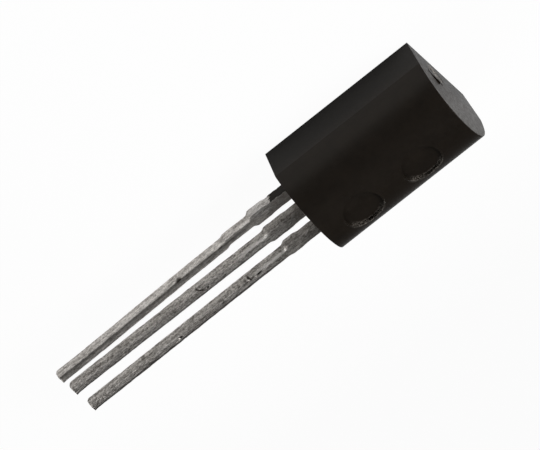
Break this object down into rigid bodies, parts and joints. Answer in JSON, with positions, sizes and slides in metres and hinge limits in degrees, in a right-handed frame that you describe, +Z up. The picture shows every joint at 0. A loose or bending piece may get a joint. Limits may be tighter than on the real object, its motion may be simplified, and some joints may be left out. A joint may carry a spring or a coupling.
{
  "type": "to-92 transistor",
  "caption": "Long-body TO-92 transistor: D-section black moulded case with flat tinned leads in a row, lying on its moulded flat.",
  "frame": {"origin": "centre of the moulded flat, which lies on the surface", "axes": "+X along the leads towards their tips, +Y across the leads, +Z up from the flat to the round side"},
  "size_m": [0.0186, 0.0046, 0.0035],
  "materials": {
    "moulding_compound": "satin black epoxy moulding compound, matt on the end faces",
    "tinned_lead": "dull tin plate with fine lengthwise drawing lines",
    "silicon": "polished silicon",
    "solder": "dull solder",
    "bond_wire": "bright gold wire"
  },
  "bodies": {
    "root": {"case": "moulding_compound", "lead_emitter": "tinned_lead", "lead_collector": "tinned_lead", "lead_base": "tinned_lead", "die": "silicon", "die_attach": "solder", "bond_wire_emitter": "bond_wire", "bond_wire_base": "bond_wire"}
  },
  "joints": []
}
